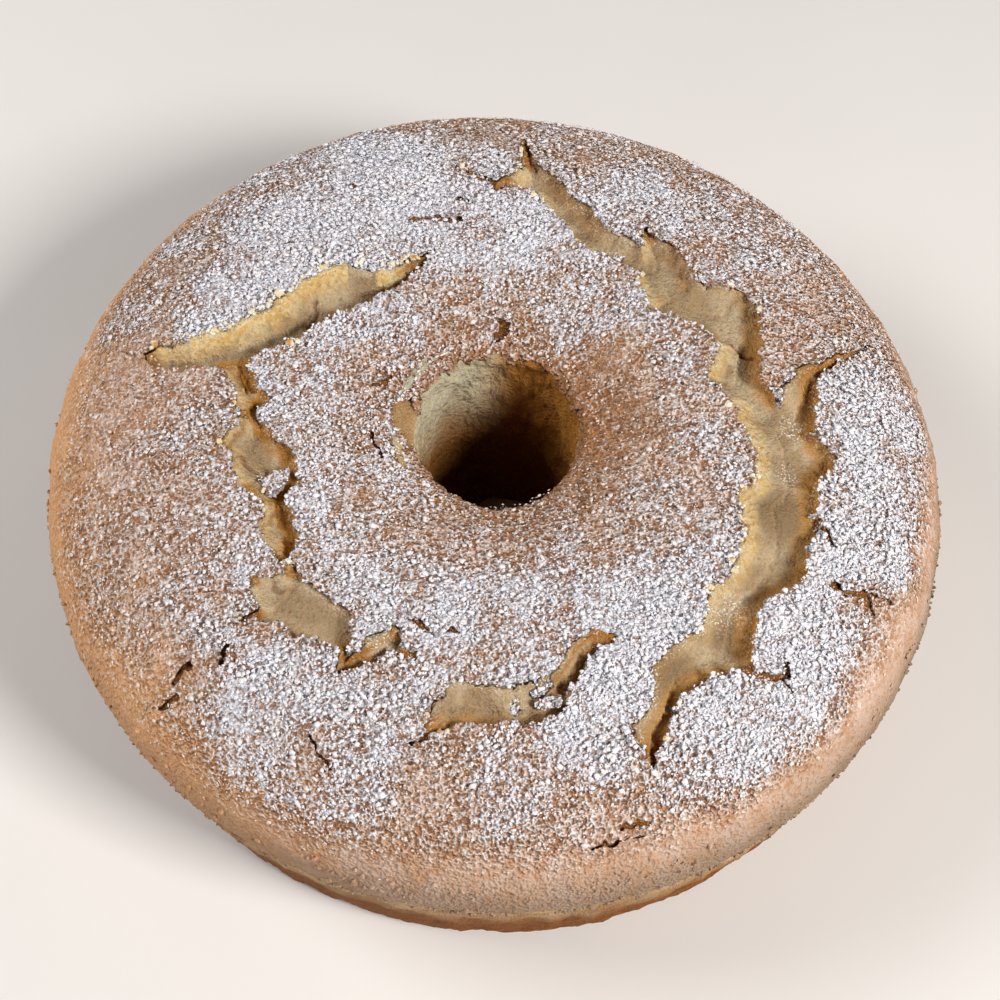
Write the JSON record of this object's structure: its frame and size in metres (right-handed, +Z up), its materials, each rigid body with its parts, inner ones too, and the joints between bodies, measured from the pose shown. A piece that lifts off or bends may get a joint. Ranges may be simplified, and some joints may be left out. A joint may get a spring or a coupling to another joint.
{
  "type": "chiffon cake",
  "caption": "Whole ring-shaped chiffon cake with a domed, split top crust, powdered sugar and a hole through its middle.",
  "frame": {"origin": "middle of the flat base", "axes": "+Z up through the hole, +Y away from the side that is seen first, +X to its right"},
  "size_m": [0.25, 0.25, 0.0831],
  "materials": {
    "crust": "dull baked crust",
    "crumb": "soft open crumb",
    "sugar": "powdered sugar"
  },
  "bodies": {
    "root": {"cake": "crust"}
  },
  "joints": []
}
